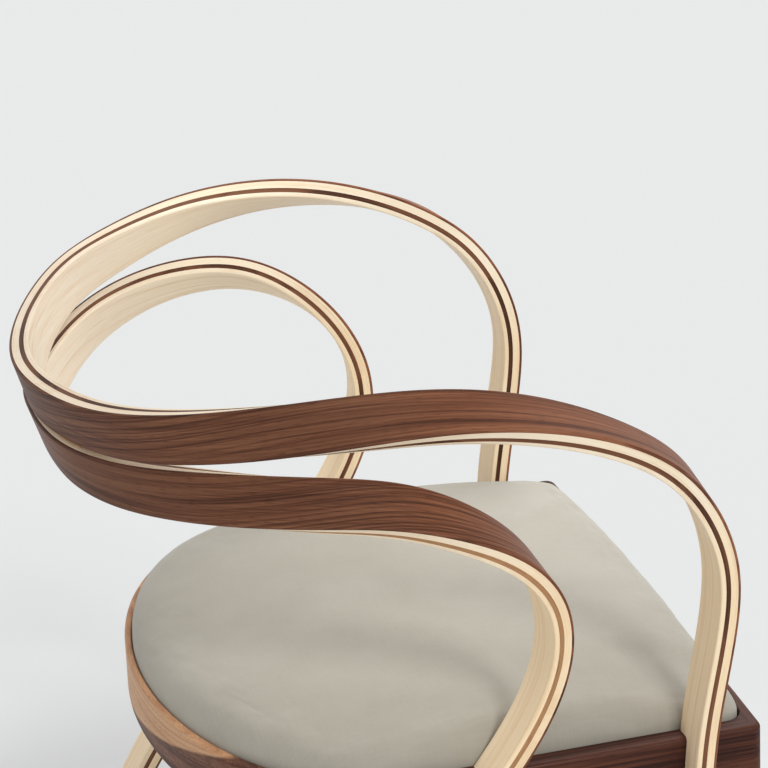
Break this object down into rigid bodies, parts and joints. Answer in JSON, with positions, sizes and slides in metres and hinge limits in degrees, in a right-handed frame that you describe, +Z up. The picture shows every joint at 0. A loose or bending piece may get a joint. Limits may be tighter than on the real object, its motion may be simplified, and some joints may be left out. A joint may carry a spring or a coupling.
{
  "type": "bent-laminated armchair",
  "caption": "Low armchair of two bent-laminated walnut and ash hoops that form legs, arms and back, with a D-shaped walnut seat frame and an upholstered pad.",
  "frame": {"origin": "on the floor, at the middle of the chair's bounding box in plan", "axes": "+Z up, -Y the way the sitter faces, +X the sitter's left"},
  "size_m": [0.5896, 0.5175, 0.7588],
  "materials": {
    "walnut_veneer": "oiled walnut, satin",
    "ash_veneer": "clear-oiled ash, satin",
    "walnut_solid": "oiled solid walnut, satin",
    "beech": "bare beech",
    "steel": "zinc-plated",
    "plywood": "bare birch plywood",
    "foam": "open-cell foam",
    "cloth": "plain-woven wool mix, matt",
    "nylon": "moulded nylon"
  },
  "bodies": {
    "root": {"back_block_left": "beech", "back_block_right": "beech", "back_rail": "walnut_solid", "block_screws": "steel", "foot_glides": "nylon", "frame_tenons": "beech", "front_block_left": "beech", "front_block_right": "beech", "front_rail": "walnut_solid", "hoop_dowels": "beech", "hoop_filler": "ash_veneer", "leg_screws": "steel", "lower_hoop_core_walnut": "walnut_veneer", "lower_hoop_inner_ash": "ash_veneer", "lower_hoop_outer_ash": "ash_veneer", "lower_hoop_outer_walnut": "walnut_veneer", "pad_board": "plywood", "pad_cover": "cloth", "pad_foam": "foam", "seat_screws": "steel", "side_rail_left": "walnut_solid", "side_rail_right": "walnut_solid", "upper_hoop_core_walnut": "walnut_veneer", "upper_hoop_inner_ash": "ash_veneer", "upper_hoop_outer_ash": "ash_veneer", "upper_hoop_outer_walnut": "walnut_veneer"}
  },
  "joints": []
}
